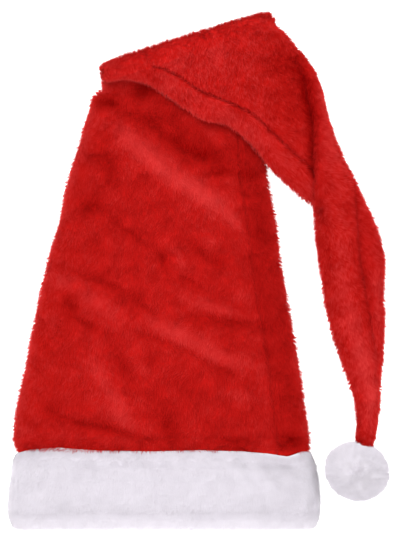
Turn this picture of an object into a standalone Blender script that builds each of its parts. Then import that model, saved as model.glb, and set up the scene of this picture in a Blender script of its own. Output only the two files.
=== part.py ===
"""A long plush Santa hat, lying on a table with its point folded over and its pompom beside the brim.

Seen from above, +X is to the right and +Y runs up the hat, from the brim to the fold. +Z is up.
The origin is on the table, under the middle of the hat. Sizes are in millimetres until metres().

The crown is a long cone of plush that lies flat as a sleeve of two layers. Its sections run across
the sleeve from its left edge to its right edge. Each has a front, which faces up on the body, and a
back, which faces up once the sleeve has turned over at the fold.
"""

from collections import namedtuple

import bmesh
import bpy
import numpy as np

# Driving dimensions, in millimetres
CLOTH = 3.0  # one layer of plush, its pile pressed
SEWN_GAP = 0.3  # left between pieces that are sewn to each other
SEAM_WIDTH = 5.0  # half the width of the valley along a seam
SEAM_DIP = 2.2  # how deep that valley is on the body
EDGE_HEIGHT = 8.0  # the sleeve's edges above the table, where it lies on it
GROOVE_WIDTH = 5.5  # half the width of the two grooves along the tail
LOBE_SOFTNESS = 6.0  # over which the tail's rolled lobe rises

BRIM_PLY = 3.0  # the brim's band is folded double, and the crown is sewn in between its plies
POCKET_GAP = 0.6
BRIM_POCKET = CLOTH + 2 * POCKET_GAP
BRIM_WALL = 2 * BRIM_PLY + BRIM_POCKET
BRIM_EDGE_HEIGHT = 13.0
BRIM_TOP = -172.5
BRIM_BOTTOM = -247.7
POCKET_DEPTH = 7.5
TUCKED_IN = 6.5  # how far the crown reaches into the pocket

POMPOM_CENTRE = (152.2, -192.0, 26.5)
POMPOM_RADII = (27.6, 26.8, 27.0)  # to the roots of its locks
LOCK_HEIGHT = 3.4
LOCK_SPREAD = 0.16  # radians
LOCK_COUNT = 96
SOCKET_CELLS = 24
SOCKET_SPARE = 1.0  # how far the socket goes past the tip
SOCKET_START = 8.0  # how far above the pompom the cutter for the tip's socket starts

# How finely the sleeve is cut into faces
BODY_STATIONS = 21
TURN_STATIONS = 5
TAIL_STATIONS = 32
BRIM_ROLL_CELLS = 5
FRONT_CELLS = 20
BACK_CELLS = 18
CELL_SPREAD = 0.45  # 0 spaces the faces evenly across the sleeve, 1 crowds them at its edges

TOP_FULLNESS = 2.3  # exponents of the superellipse that a section follows
UNDER_FULLNESS = 5.0
UNDER_FLATNESS = 1.04  # over 1, so that what lies on the table is truly flat

# The crown from the brim to the fold. top is the rise of the front above the edges. seam is how far
# out the seams run, as a share of the half width: the right one on the front, the left one on the back.
Body = namedtuple("Body", "left_x left_y right_x right_y top seam")
BODY = [
    Body(-176.5, -160, 106.0, -160, 17.5, 0.79),
    Body(-174.0, -138, 103.0, -138, 19.5, 0.79),
    Body(-168.0, -105, 98.8, -105, 20.5, 0.785),
    Body(-160.3, -66, 92.1, -66, 20.5, 0.78),
    Body(-152.6, -28, 85.4, -28, 20.5, 0.77),
    Body(-143.5, 10, 78.0, 11, 20.0, 0.76),
    Body(-132.0, 48, 72.6, 52, 19.0, 0.75),
    Body(-126.0, 77, 67.0, 84, 17.5, 0.74),
    Body(-118.5, 105, 64.5, 116, 15.0, 0.73),
    Body(-110.0, 130, 63.5, 146, 12.0, 0.72),
    Body(-103.5, 150, 66.0, 174, 9.6, 0.70),
    Body(-97.5, 168, 71.0, 201, 8.4, 0.66),
    Body(-89.5, 188, 79.0, 234.5, 8.0, 0.555),
]

# The crown from the fold to the pompom. left is the lower edge and right the outer one. left_up and
# right_up lift them above the table, over the body. seam is the back's, which now faces up, dip is its
# depth, and hidden_seam is the front's, underneath. A groove runs down the sleeve on each side of a
# rolled lobe: pleat and crease are their places as shares of the half width.
Tail = namedtuple(
    "Tail",
    "left_x left_y left_up right_x right_y right_up top under seam hidden_seam dip pleat crease groove lobe",
)
TAIL = [
    Tail(-89.5, 188.0, 17.0, 79.0, 234.5, 17.0, 8.0, 8.0, 0.560, 0.555, 2.5, 0.96, 1.5, 0.0, 0.0),
    Tail(-80.0, 187.0, 17.2, 86.5, 227.0, 16.8, 8.8, 8.0, 0.530, 0.57, 3.0, 0.93, 1.5, 1.0, 0.5),
    Tail(-66.0, 181.0, 17.6, 92.5, 219.0, 16.2, 9.6, 8.0, 0.565, 0.58, 3.2, 0.90, 1.5, 2.0, 1.0),
    Tail(-49.0, 174.5, 18.2, 98.5, 211.0, 15.4, 10.2, 8.0, 0.575, 0.60, 3.5, 0.87, 1.5, 3.0, 2.0),
    Tail(-27.0, 160.0, 19.6, 104.0, 202.0, 14.2, 10.8, 8.0, 0.570, 0.62, 3.5, 0.83, 1.5, 4.0, 3.5),
    Tail(1.0, 141.5, 21.2, 111.0, 190.0, 12.5, 11.2, 8.0, 0.550, 0.64, 3.5, 0.77, 1.5, 4.5, 5.0),
    Tail(27.0, 134.5, 21.2, 116.5, 177.0, 10.5, 11.4, 8.0, 0.505, 0.66, 3.5, 0.71, 1.5, 5.0, 6.0),
    Tail(50.0, 117.0, 19.0, 121.5, 160.0, 7.5, 11.6, 8.0, 0.460, 0.68, 3.5, 0.64, 1.45, 5.5, 7.0),
    Tail(74.0, 90.5, 13.0, 125.5, 142.0, 4.5, 12.0, 8.0, 0.340, 0.70, 3.0, 0.40, 1.35, 6.0, 7.5),
    Tail(97.0, 71.5, 5.0, 131.0, 125.5, 2.0, 12.6, 8.0, 0.380, 0.73, 1.5, -0.22, 1.2, 6.0, 7.5),
    Tail(110.5, 61.5, 1.5, 138.0, 110.0, 1.0, 13.2, 8.0, 0.700, 0.76, 0.5, -0.95, 1.02, 5.5, 7.0),
    Tail(112.0, 46.0, 0.5, 147.0, 91.0, 0.5, 13.8, 8.0, 0.900, 0.79, 0.3, -1.4, 0.82, 5.5, 6.0),
    Tail(113.0, 29.0, 0.0, 158.0, 67.5, 0.0, 14.0, 8.0, 0.940, 0.82, 0.3, -1.6, 0.58, 6.0, 5.0),
    Tail(115.0, 12.0, 0.0, 170.0, 41.5, 0.0, 14.0, 8.0, 0.940, 0.84, 0.3, -1.6, 0.34, 6.5, 4.5),
    Tail(118.0, -9.0, 0.0, 177.5, 12.0, 0.0, 14.0, 8.0, 0.940, 0.86, 0.3, -1.6, 0.26, 6.5, 4.0),
    Tail(121.0, -33.0, 0.0, 177.5, -21.0, 0.0, 13.5, 8.0, 0.940, 0.88, 0.3, -1.6, 0.34, 6.0, 3.5),
    Tail(126.5, -56.0, 0.0, 177.5, -50.0, 0.0, 13.0, 8.0, 0.940, 0.90, 0.3, -1.6, 0.46, 5.5, 3.0),
    Tail(135.0, -83.0, 0.5, 176.7, -78.0, 0.5, 12.0, 7.5, 0.940, 0.90, 0.3, -1.6, 0.60, 4.0, 2.0),
    Tail(144.0, -107.0, 2.0, 175.0, -104.0, 2.0, 10.5, 7.5, 0.930, 0.90, 0.3, -1.6, 0.71, 2.0, 0.8),
    Tail(150.3, -129.0, 5.0, 172.6, -128.0, 5.0, 9.0, 7.0, 0.920, 0.90, 0.3, -1.6, 0.8, 0.5, 0.0),
    Tail(152.4, -148.0, 10.0, 169.0, -148.0, 10.0, 7.2, 6.2, 0.910, 0.90, 0.3, -1.6, 0.8, 0.0, 0.0),
    Tail(152.6, -163.0, 15.0, 165.0, -163.0, 15.0, 5.8, 5.4, 0.900, 0.90, 0.2, -1.6, 0.8, 0.0, 0.0),
    Tail(153.0, -174.0, 18.0, 163.4, -174.0, 18.0, 5.2, 5.2, 0.900, 0.90, 0.2, -1.6, 0.8, 0.0, 0.0),
]

# Soft ridges and dents of the body's front, seen from above. A height below 0 is a dent.
Fold = namedtuple("Fold", "x y turn length width height")
BODY_FOLDS = [
    Fold(-30, 98, -33, 85, 13, 3.5),
    Fold(-45, 128, -22, 60, 9, -3.5),
    Fold(-76, 163, 8, 20, 5, -2.5),
    Fold(-95, 108, 20, 22, 12, -3.0),
    Fold(-70, 52, -30, 60, 8, -2.5),
    Fold(-40, 68, -32, 55, 14, 1.5),
    Fold(10, 28, -35, 40, 12, -3.0),
    Fold(-75, -30, -26, 80, 8, -2.5),
    Fold(-60, -12, -24, 75, 12, 2.0),
    Fold(40, -45, -12, 50, 6, -2.5),
    Fold(-115, -42, -30, 30, 14, -3.0),
    Fold(-10, -70, -28, 90, 14, 3.0),
    Fold(-100, -62, -24, 50, 6, -2.5),
    Fold(-78, -100, -40, 75, 14, 3.5),
    Fold(-55, -125, -14, 75, 12, -3.0),
    Fold(-110, -135, -8, 60, 9, -2.0),
    Fold(0, -110, -18, 60, 16, -2.5),
    Fold(45, -130, -8, 45, 10, -2.5),
]

# The brim, from its top to its lower edge
Brim = namedtuple("Brim", "y left_x right_x top")
BRIM = [
    Brim(BRIM_TOP - POCKET_DEPTH, -177.8, 110.6, 21.0),
    Brim(-188, -178.6, 113.0, 25.0),
    Brim(-200, -180.2, 115.0, 28.0),
    Brim(-212, -181.8, 116.6, 28.8),
    Brim(-222, -182.6, 117.2, 28.2),
    Brim(-230, -182.8, 117.0, 26.8),
    Brim(-237, -182.4, 116.4, 26.8),
    Brim(BRIM_BOTTOM + BRIM_WALL / 2, -180.6, 115.0, 25.0),
]

NARROW_CELL = 0.05  # the cell along each seam, as a share of a panel's width

RED = (0.62, 0.012, 0.014, 1.0)
WHITE = (0.86, 0.84, 0.88, 1.0)


def metres(points):
    return np.asarray(points) * 0.001


def unit(vectors):
    return vectors / np.linalg.norm(vectors, axis=-1, keepdims=True)


def smooth_rows(rows, count):
    """Columns of a table, read at count places evenly spaced along a smooth curve through its rows."""
    table = np.array(rows, float)
    right = rows[0]._fields.index("right_x")
    left_step = np.linalg.norm(np.diff(table[:, 0:2], axis=0), axis=1)
    right_step = np.linalg.norm(np.diff(table[:, right : right + 2], axis=0), axis=1)
    along = np.concatenate([[0], np.cumsum(left_step + right_step)])
    slope = np.gradient(table, along, axis=0)
    place = np.linspace(0, along[-1], count)
    row = np.clip(np.searchsorted(along, place, side="right") - 1, 0, len(along) - 2)
    step = along[row + 1] - along[row]
    share = ((place - along[row]) / step)[:, None]
    step = step[:, None]
    found = (
        (2 * share**3 - 3 * share**2 + 1) * table[row]
        + (share**3 - 2 * share**2 + share) * step * slope[row]
        + (3 * share**2 - 2 * share**3) * table[row + 1]
        + (share**3 - share**2) * step * slope[row + 1]
    )
    return {name: found[:, i] for i, name in enumerate(rows[0]._fields)}


def stretch(columns, left_z, right_z, front, back, upper):
    """One stretch of the sleeve: its edges, the rise of its two sides, and which of them is upper."""
    zero = np.zeros(len(front))
    made = {name: columns.get(name, zero) for name in ("dip", "groove", "lobe")}
    made["pleat"] = columns.get("pleat", zero - 2)
    made["crease"] = columns.get("crease", zero + 2)
    made["seam"] = columns["seam"]
    made["hidden_seam"] = columns.get("hidden_seam", columns["seam"])
    made["left"] = np.stack([columns["left_x"], columns["left_y"], left_z], axis=1)
    made["right"] = np.stack([columns["right_x"], columns["right_y"], right_z], axis=1)
    made["front"], made["back"] = front, back
    made["upper"] = zero + upper
    across = unit(made["right"] - made["left"])
    facing = np.tile([0.0, 0.0, upper], (len(front), 1))
    made["facing"] = unit(facing - (facing * across).sum(1, keepdims=True) * across)
    made["creased"] = columns.get("creased", zero)
    return made


def tucked_stretch():
    """The crown's lower edge, held in the brim's pocket."""
    inset = BRIM_PLY + POCKET_GAP
    brim = BRIM[0]
    y = np.array([BRIM_TOP - TUCKED_IN, BRIM_TOP + 1.0])
    one = np.ones(2)
    columns = {
        "left_x": (brim.left_x + inset) * one,
        "right_x": (brim.right_x - inset) * one,
        "left_y": y,
        "right_y": y,
        "seam": BODY[0].seam * one,
    }
    edge = BRIM_EDGE_HEIGHT * one
    return stretch(columns, edge, edge, (brim.top - inset) * one, edge - inset, 1)


def body_stretch():
    """The crown's body, which lies with its back on the table."""
    columns = smooth_rows(BODY, BODY_STATIONS)
    columns["dip"] = np.full(BODY_STATIONS, SEAM_DIP)
    columns["creased"] = np.ones(BODY_STATIONS)
    edge = np.full(BODY_STATIONS, EDGE_HEIGHT)
    return stretch(columns, edge, edge, columns["top"], edge, 1)


def turn_stretch(body, tail):
    """The fold: the sleeve's middle turns half round a line across it, from the body to the tail."""
    angle = np.linspace(0, np.pi, TURN_STATIONS + 2)[1:-1]
    share = (angle / np.pi)[:, None]
    made = {}
    for name in body:
        first, last = body[name][-1:], tail[name][:1]
        even = share if first.ndim == 2 else share[:, 0]
        made[name] = first + (last - first) * even
    across = unit(body["right"][-1] - body["left"][-1])
    outward = np.cross([0, 0, 1.0], across)
    rise = (tail["left"][0] - body["left"][-1])[2] / 2
    path = np.outer(np.sin(angle), outward) * rise
    path[:, 2] = rise * (1 - np.cos(angle))
    made["creased"] = np.zeros(TURN_STATIONS)
    made["left"] = body["left"][-1] + path
    made["right"] = body["right"][-1] + path
    made["facing"] = np.outer(np.cos(angle), [0, 0, 1.0]) - np.outer(np.sin(angle), outward)
    return made


def tail_stretch():
    """The crown past the fold, upside down: its back faces up."""
    columns = smooth_rows(TAIL, TAIL_STATIONS)
    columns["creased"] = np.ones(TAIL_STATIONS)
    under = columns["under"]
    left_z = columns["left_up"] + under
    right_z = columns["right_up"] + under
    return stretch(columns, left_z, right_z, under, columns["top"], -1)


def whole_sleeve():
    """Every section of the crown, from the edge in the brim's pocket to the tip in the pompom."""
    body, tail = body_stretch(), tail_stretch()
    stretches = [tucked_stretch(), body, turn_stretch(body, tail), tail]
    return {name: np.concatenate([s[name] for s in stretches]) for name in body}


def spread_across(x):
    """Shares of the half width for even steps x across the sleeve, closer together at its edges."""
    return (1 - CELL_SPREAD) * x + CELL_SPREAD * np.sin(np.pi / 2 * x)


def girth_of(share):
    """The girth at which the front lies that share of the half width to the right."""
    x = np.linspace(-1, 1, 401)
    return 1 - np.interp(share, spread_across(x), x)


def panel_girths(start, end, cells):
    """Girths from one seam to the other, with a narrow cell along each seam."""
    inner = np.linspace(NARROW_CELL, 1 - NARROW_CELL, cells - 1)
    share = np.concatenate([[0], inner, [1]])
    return start[:, None] + (end - start)[:, None] * share


def folds_at(x, y):
    """The body's relief: each fold is a long soft mound, highest at its middle."""
    total = np.zeros_like(x)
    for fold in BODY_FOLDS:
        turn = np.radians(fold.turn)
        along = (x - fold.x) * np.cos(turn) + (y - fold.y) * np.sin(turn)
        across = (y - fold.y) * np.cos(turn) - (x - fold.x) * np.sin(turn)
        total += fold.height * np.exp(-((along / fold.length) ** 2) - (across / fold.width) ** 2)
    return total


def tail_relief(s, share, half):
    """The rolled lobe between the tail's two grooves, and the grooves themselves."""
    past_pleat = (share - s["pleat"][:, None]) * half
    before_crease = (s["crease"][:, None] - share) * half
    rising = 1 / (1 + np.exp(-past_pleat / LOBE_SOFTNESS * 2))
    falling = 1 / (1 + np.exp(-before_crease / LOBE_SOFTNESS * 2))
    grooves = sum(np.exp(-np.abs(away) / GROOVE_WIDTH) for away in (past_pleat, before_crease))
    return s["lobe"][:, None] * rising * falling - s["groove"][:, None] * grooves


def sleeve_points(s, girth, depth):
    """Points of the sleeve, depth below its outer surface. girth goes round each section: 0 to 2
    over the front, from the right edge to the left, and 2 to 4 back under it."""
    on_front = girth <= 2
    share = spread_across(np.where(on_front, 1 - girth, girth - 3))
    upper = s["upper"][:, None]
    is_top = np.where(on_front, upper, -upper) > 0
    swell_top = (1 - np.abs(share) ** TOP_FULLNESS) ** (1 / TOP_FULLNESS)
    swell_under = (1 - np.abs(share) ** UNDER_FULLNESS) ** (1 / UNDER_FULLNESS)
    swell = np.where(is_top, swell_top, np.minimum(1, UNDER_FLATNESS * swell_under))
    rise = np.where(on_front, s["front"][:, None], s["back"][:, None]) - depth

    middle, reach = (s["left"] + s["right"]) / 2, (s["right"] - s["left"]) / 2
    half = np.linalg.norm(reach, axis=1)[:, None]
    place = middle[:, None] + unit(reach)[:, None] * ((half - depth) * share)[..., None]
    relief = np.where(upper > 0, folds_at(place[..., 0], place[..., 1]), tail_relief(s, share, half))
    relief = np.where(is_top, relief, 0) * (1 - np.abs(share) ** 6) * s["creased"][:, None]
    from_front_seam, from_back_seam = share - s["hidden_seam"][:, None], share + s["seam"][:, None]
    to_seam = np.where(on_front, from_front_seam, from_back_seam) * half
    relief -= s["dip"][:, None] * np.exp(-((to_seam / SEAM_WIDTH) ** 2))
    height = np.where(on_front, 1, -1) * (rise * swell + relief)
    return place + s["facing"][:, None] * height[..., None]


def sheet_faces(rows, columns):
    """Quads of a closed sheet: an outer grid of points, an inner one after it, and their rim."""
    index = np.arange(rows * columns).reshape(rows, columns)
    inner = index + rows * columns
    a, b, c, d = index[:-1, :-1], index[1:, :-1], index[1:, 1:], index[:-1, 1:]
    outside = np.stack([a, b, c, d], axis=-1).reshape(-1, 4)
    inside = outside[:, ::-1] + rows * columns
    ring = np.concatenate([index[0, :-1], index[:-1, -1], index[-1, :0:-1], index[:0:-1, 0]])
    back_ring = inner.reshape(-1)[ring]
    rim = np.stack([ring, np.roll(ring, -1), np.roll(back_ring, -1), back_ring], axis=1)
    return np.concatenate([outside, inside, rim])


def tube_faces(rows, columns):
    """Quads of a grid that is closed both ways, as a ring's is."""
    index = np.arange(rows * columns).reshape(rows, columns)
    after, beside = np.roll(index, -1, axis=0), np.roll(index, -1, axis=1)
    both = np.roll(after, -1, axis=1)
    return np.stack([index, after, both, beside], axis=-1).reshape(-1, 4)


def plush(name, colour):
    """Matt plush of one colour."""
    material = bpy.data.materials.new(name)
    material.use_nodes = True
    shader = material.node_tree.nodes["Principled BSDF"]
    shader.inputs["Base Color"].default_value = colour
    shader.inputs["Roughness"].default_value = 0.9
    shader.inputs["Metallic"].default_value = 0.0
    shader.inputs["Sheen Weight"].default_value = 0.5
    return material


def add_piece(name, points, faces, material):
    """An object of these points, in millimetres, with its faces turned to point outwards."""
    mesh = bpy.data.meshes.new(name)
    mesh.from_pydata(metres(points).tolist(), [], [list(map(int, face)) for face in faces])
    working = bmesh.new()
    working.from_mesh(mesh)
    bmesh.ops.recalc_face_normals(working, faces=working.faces)
    bmesh.ops.triangulate(working, faces=working.faces, quad_method="SHORT_EDGE")
    working.to_mesh(mesh)
    working.free()
    mesh.shade_smooth()
    mesh.set_sharp_from_angle(angle=np.radians(50))
    mesh.materials.append(material)
    piece = bpy.data.objects.new(name, mesh)
    bpy.context.scene.collection.objects.link(piece)
    return piece


def seam_girths(s):
    """The girths at which the front ends, at the right seam and at the left one."""
    right = girth_of(s["hidden_seam"])
    left = 4 - girth_of(-s["seam"])
    return right, left


def crown_panel(name, s, start, end, cells, material):
    """One of the crown's two panels, a sheet that ends half a sewn gap short of each seam."""
    half = np.linalg.norm(s["right"] - s["left"], axis=1) / 2
    gap = SEWN_GAP / half / (1 - CELL_SPREAD)
    girth = panel_girths(start, end, cells)
    girth[:, 0] += gap
    girth[:, -1] -= gap
    wrapped = np.where(girth > 4, girth - 4, girth)
    points = [sleeve_points(s, wrapped, depth).reshape(-1, 3) for depth in (0, CLOTH)]
    return add_piece(name, np.concatenate(points), sheet_faces(*girth.shape), material)


def brim_section(y):
    """The brim's section at a height along Y, as a stretch of one row."""
    table = np.array(BRIM, float)[::-1]
    level = np.clip(y, table[0, 0], table[-1, 0])
    left_x, right_x, top = (np.interp([level], table[:, 0], column) for column in table[:, 1:].T)
    edge = np.array([BRIM_EDGE_HEIGHT])
    place = np.array([y])
    seam = np.array([BODY[0].seam])
    columns = {"left_x": left_x, "left_y": place, "right_x": right_x, "right_y": place, "seam": seam}
    return stretch(columns, edge, edge, top, edge, 1)


def brim_piece(material):
    """The brim's band, folded double round its lower edge, with the crown's pocket in its top."""
    right, left = seam_girths(brim_section(BRIM_TOP))
    front = panel_girths(right, left, FRONT_CELLS)
    back = panel_girths(left, right + 4, BACK_CELLS)[:, 1:-1]
    girth = np.concatenate([front, np.where(back > 4, back - 4, back)], axis=1)
    rings = [sleeve_points(brim_section(y), girth, depth)[0] for y, depth in brim_profile()]
    points = np.array(rings)
    return add_piece("fur_brim", points.reshape(-1, 3), tube_faces(*points.shape[:2]), material)


def brim_profile():
    """The wall's outline, as heights along Y and depths below the outer surface."""
    radius = BRIM_WALL / 2
    turn_at = BRIM_BOTTOM + radius
    outside = [(BRIM_TOP, 0)] + [(row.y, 0) for row in BRIM[1:]]
    angles = np.linspace(0, np.pi, BRIM_ROLL_CELLS + 1)[1:-1]
    under = [(turn_at - radius * np.sin(a), radius * (1 - np.cos(a))) for a in angles]
    inside = [(row.y, BRIM_WALL) for row in BRIM[:0:-2]] + [(BRIM_TOP, BRIM_WALL)]
    floor = BRIM_TOP - POCKET_DEPTH
    lips = BRIM_WALL - BRIM_PLY, BRIM_PLY
    pocket = [(BRIM_TOP, lips[0]), (floor, lips[0]), (floor, lips[1]), (BRIM_TOP, lips[1])]
    return outside + under + inside + pocket


def even_directions(count):
    """Directions spread evenly over a sphere along a golden spiral."""
    turn = np.pi * (3 - np.sqrt(5)) * np.arange(count)
    z = 1 - (2 * np.arange(count) + 1) / count
    ring = np.sqrt(1 - z**2)
    return np.stack([ring * np.cos(turn), ring * np.sin(turn), z], axis=1)


def pompom_piece(material, tip):
    """A ball of blunt locks fused to a round head, flat where it rests, with a socket for the tip."""
    working = bmesh.new()
    bmesh.ops.create_icosphere(working, subdivisions=4, radius=1.0)
    ways = unit(np.array([vertex.co for vertex in working.verts]))
    faces = np.array([[vertex.index for vertex in face.verts] for face in working.faces])
    working.free()
    angles = np.arccos(np.clip(ways @ even_directions(LOCK_COUNT).T, -1, 1))
    locks = LOCK_HEIGHT * np.exp(-((angles.min(axis=1) / LOCK_SPREAD) ** 2))
    points = ways * np.array(POMPOM_RADII) + ways * locks[:, None] + np.array(POMPOM_CENTRE)
    points[:, 2] = np.maximum(points[:, 2], 0)
    ball = add_piece("pompom", points, faces, material)
    socket = add_piece("pompom_socket", *tip, material)
    socket.hide_render = True
    socket.display_type = "WIRE"
    cut = ball.modifiers.new("socket", "BOOLEAN")
    cut.operation = "DIFFERENCE"
    cut.solver = "EXACT"
    cut.object = socket
    return ball


def tip_cutter(s):
    """The sleeve's last stretch, two sewn gaps larger all round, closed at both ends."""
    girth = np.tile(np.linspace(0, 4, SOCKET_CELLS + 1)[:-1], (len(s["front"]), 1))
    inside = s["left"][:, 1] < POMPOM_CENTRE[1] + POMPOM_RADII[1] + SOCKET_START
    rings = sleeve_points(s, girth, -2 * SEWN_GAP)[inside]
    rings = np.concatenate([rings, rings[-1:] - [0, SOCKET_SPARE, 0]])
    rows, columns = rings.shape[:2]
    index = np.arange(rows * columns).reshape(rows, columns)
    beside = np.roll(index, -1, axis=1)
    sides = np.stack([index[:-1], index[1:], beside[1:], beside[:-1]], axis=-1).reshape(-1, 4)
    ends = [rings[0].mean(axis=0), rings[-1].mean(axis=0)]
    points = np.concatenate([rings.reshape(-1, 3), ends])
    caps = [
        [edge[i], edge[(i + 1) % columns], rows * columns + end, rows * columns + end]
        for end, edge in ((0, index[0]), (1, index[-1]))
        for i in range(columns)
    ]
    return points, [list(dict.fromkeys(face)) for face in [*sides.tolist(), *caps]]


def main():
    for thing in list(bpy.data.objects):
        bpy.data.objects.remove(thing)
    red, white = plush("red_plush", RED), plush("white_plush", WHITE)
    s = whole_sleeve()
    right, left = seam_girths(s)
    crown_panel("crown_front", s, right, left, FRONT_CELLS, red)
    crown_panel("crown_back", s, left, right + 4, BACK_CELLS, red)
    brim_piece(white)
    pompom_piece(white, tip_cutter(s))


main()
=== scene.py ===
# %% [markdown]
# # A long plush Santa hat
#
# The hat lies flat on a pale table, with its point folded over to the right and its pompom beside the
# brim. The camera looks straight down. This lesson dresses the hat's plain solids: the two red panels
# of the crown, the white brim and the pompom. On the real hat each of them is a knitted backing with a
# short, dense pile, so each is made twice here: first the backing, as a smooth curved wall, and then
# the pile, as many thousands of small pointed tufts that grow from it.
#
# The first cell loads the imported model, which fixes every place and size.

# %% The frame
from collections import namedtuple

import bpy
import numpy as np
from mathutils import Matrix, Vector


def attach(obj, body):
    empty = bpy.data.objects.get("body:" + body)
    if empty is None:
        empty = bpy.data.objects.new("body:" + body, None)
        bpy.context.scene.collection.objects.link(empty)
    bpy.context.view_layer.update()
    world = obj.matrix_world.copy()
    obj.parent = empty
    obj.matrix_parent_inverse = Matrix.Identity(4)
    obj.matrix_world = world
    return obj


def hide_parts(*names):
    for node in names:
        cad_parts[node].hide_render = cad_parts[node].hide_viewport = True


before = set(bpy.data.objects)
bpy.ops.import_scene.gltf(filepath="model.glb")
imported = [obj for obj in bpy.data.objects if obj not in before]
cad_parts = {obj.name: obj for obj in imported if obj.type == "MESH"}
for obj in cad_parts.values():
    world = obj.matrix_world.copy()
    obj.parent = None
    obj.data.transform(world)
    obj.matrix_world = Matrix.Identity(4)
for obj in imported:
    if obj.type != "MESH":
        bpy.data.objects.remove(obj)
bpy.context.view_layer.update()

# %% [markdown]
# ## The camera, the table and the light
#
# The photograph is a product picture taken from straight above, on pure white and without shadow. Such
# a picture is taken on a white table that is also lit from below. A long lens far away gives hardly
# any perspective, so the outline keeps its proportions. The frame's width on the hat's level is what
# fixes the lens: the sensor's width times the distance, over that width.

# %% Camera
VIEW_MIDDLE = (0.0019, 0.0029)
VIEW_WIDTH = 0.384
HAT_LEVEL = 0.020
CAMERA_DISTANCE = 2.4
SENSOR_WIDTH = 36.0
FARTHEST_SEEN = 20.0

camera_data = bpy.data.cameras.new("camera")
camera_data.sensor_fit = "HORIZONTAL"
camera_data.sensor_width = SENSOR_WIDTH
camera_data.lens = SENSOR_WIDTH * CAMERA_DISTANCE / VIEW_WIDTH
camera_data.clip_end = FARTHEST_SEEN
camera = bpy.data.objects.new("camera", camera_data)
camera.location = (*VIEW_MIDDLE, HAT_LEVEL + CAMERA_DISTANCE)
bpy.context.scene.collection.objects.link(camera)
bpy.context.scene.camera = camera
bpy.context.scene.view_settings.view_transform = "Standard"
print("lens in millimetres:", round(camera_data.lens, 1))

# %% Nodes and meshes in a few words
MILLIMETRE = 0.001


def node(tree, kind, **values):
    """A shader node with these settings and input values."""
    made = tree.nodes.new("ShaderNode" + kind)
    for name, value in values.items():
        if hasattr(made, name):
            setattr(made, name, value)
        else:
            made.inputs[name.replace("_", " ").title()].default_value = value
    return made


def set_inputs(made, values):
    """A plain value for each named input of a node."""
    for name, value in values.items():
        made.inputs[name].default_value = value


def join(tree, start, end):
    """A link from an output to an input."""
    tree.links.new(start, end)


def linked(thing):
    """The object, as a part of the scene."""
    bpy.context.scene.collection.objects.link(thing)
    return thing


def mesh_of(name, points, faces):
    """A mesh of points in millimetres and faces that all have the same number of corners."""
    faces = np.asarray(faces, np.int32)
    mesh = bpy.data.meshes.new(name)
    mesh.vertices.add(len(points))
    mesh.vertices.foreach_set("co", (np.asarray(points) * MILLIMETRE).astype(np.float32).ravel())
    mesh.loops.add(faces.size)
    mesh.loops.foreach_set("vertex_index", faces.ravel())
    mesh.polygons.add(len(faces))
    mesh.polygons.foreach_set("loop_start", np.arange(0, faces.size, faces.shape[1], dtype=np.int32))
    mesh.update(calc_edges=True)
    mesh.shade_smooth()
    return mesh


def give(mesh, **columns):
    """Keeps one number for each vertex under each name, for a material to read."""
    for name, column in columns.items():
        made = mesh.attributes.new(name, "FLOAT", "POINT")
        made.data.foreach_set("value", np.broadcast_to(column, len(mesh.vertices)).astype(np.float32))


# %% Table
FLOOR_HALF = 6.0
TABLE_GLOW = 0.7
CORNERS = [(-1, -1), (1, -1), (1, 1), (-1, 1)]
floor_mesh = bpy.data.meshes.new("table")
floor_mesh.from_pydata([(FLOOR_HALF * x, FLOOR_HALF * y, 0) for x, y in CORNERS], [], [(0, 1, 2, 3)])
floor = linked(bpy.data.objects.new("table", floor_mesh))
floor_material = bpy.data.materials.new("table_white")
floor_material.use_nodes = True
set_inputs(floor_material.node_tree.nodes["Principled BSDF"], {
    "Base Color": (0.97, 0.97, 0.975, 1),
    "Roughness": 0.8,
    "Specular IOR Level": 0.1,
    "Emission Color": (1, 1, 1, 1),
    "Emission Strength": TABLE_GLOW,
})
floor_mesh.materials.append(floor_material)

# %% Lights
Lamp = namedtuple("Lamp", "name x y z size watts")
LAMPS = [
    Lamp("key", -0.75, 0.95, 1.55, 1.1, 24.0),
    Lamp("fill", 1.3, 0.1, 1.5, 1.6, 10.0),
    Lamp("front_fill", -0.3, -1.6, 1.3, 1.6, 9.0),
]
SKY = 1.84


def add_lamp(lamp):
    """A square softbox that faces the middle of the hat."""
    data = bpy.data.lights.new(lamp.name, "AREA")
    data.energy = lamp.watts
    data.size = lamp.size
    made = linked(bpy.data.objects.new(lamp.name, data))
    made.location = (lamp.x, lamp.y, lamp.z)
    made.rotation_euler = (Vector((0, 0, HAT_LEVEL)) - made.location).to_track_quat("-Z", "Y").to_euler()
    return made


for lamp in LAMPS:
    add_lamp(lamp)
world = bpy.data.worlds.new("studio")
world.use_nodes = True
set_inputs(world.node_tree.nodes["Background"], {"Color": (1, 1, 1, 1), "Strength": SKY})
bpy.context.scene.world = world
print("lamps:", [lamp.name for lamp in LAMPS])

# %% [markdown]
# ## The sleeve
#
# The crown is a long cone of plush that lies flat as a sleeve of two layers, so its shape is a family
# of flat sections. Each runs from the sleeve's left edge to its right edge, with a front that swells up
# and a back that lies on the table. Past the fold the sleeve is upside down. The tables below hold the
# sections that matter, in millimetres, and a smooth curve through them gives all the others.

# %% Sizes of the crown
CLOTH = 3.0
SEAM_WIDTH = 2.2
SEAM_DIP = 0.9
EDGE_HEIGHT = 8.0
GROOVE_WIDTH = 4.5
LOBE_SOFTNESS = 5.5
TOP_FULLNESS = 2.3
UNDER_FULLNESS = 5.0
UNDER_FLATNESS = 1.04
RELIEF_FADE = 6
CELL_SPREAD = 0.45

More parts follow.
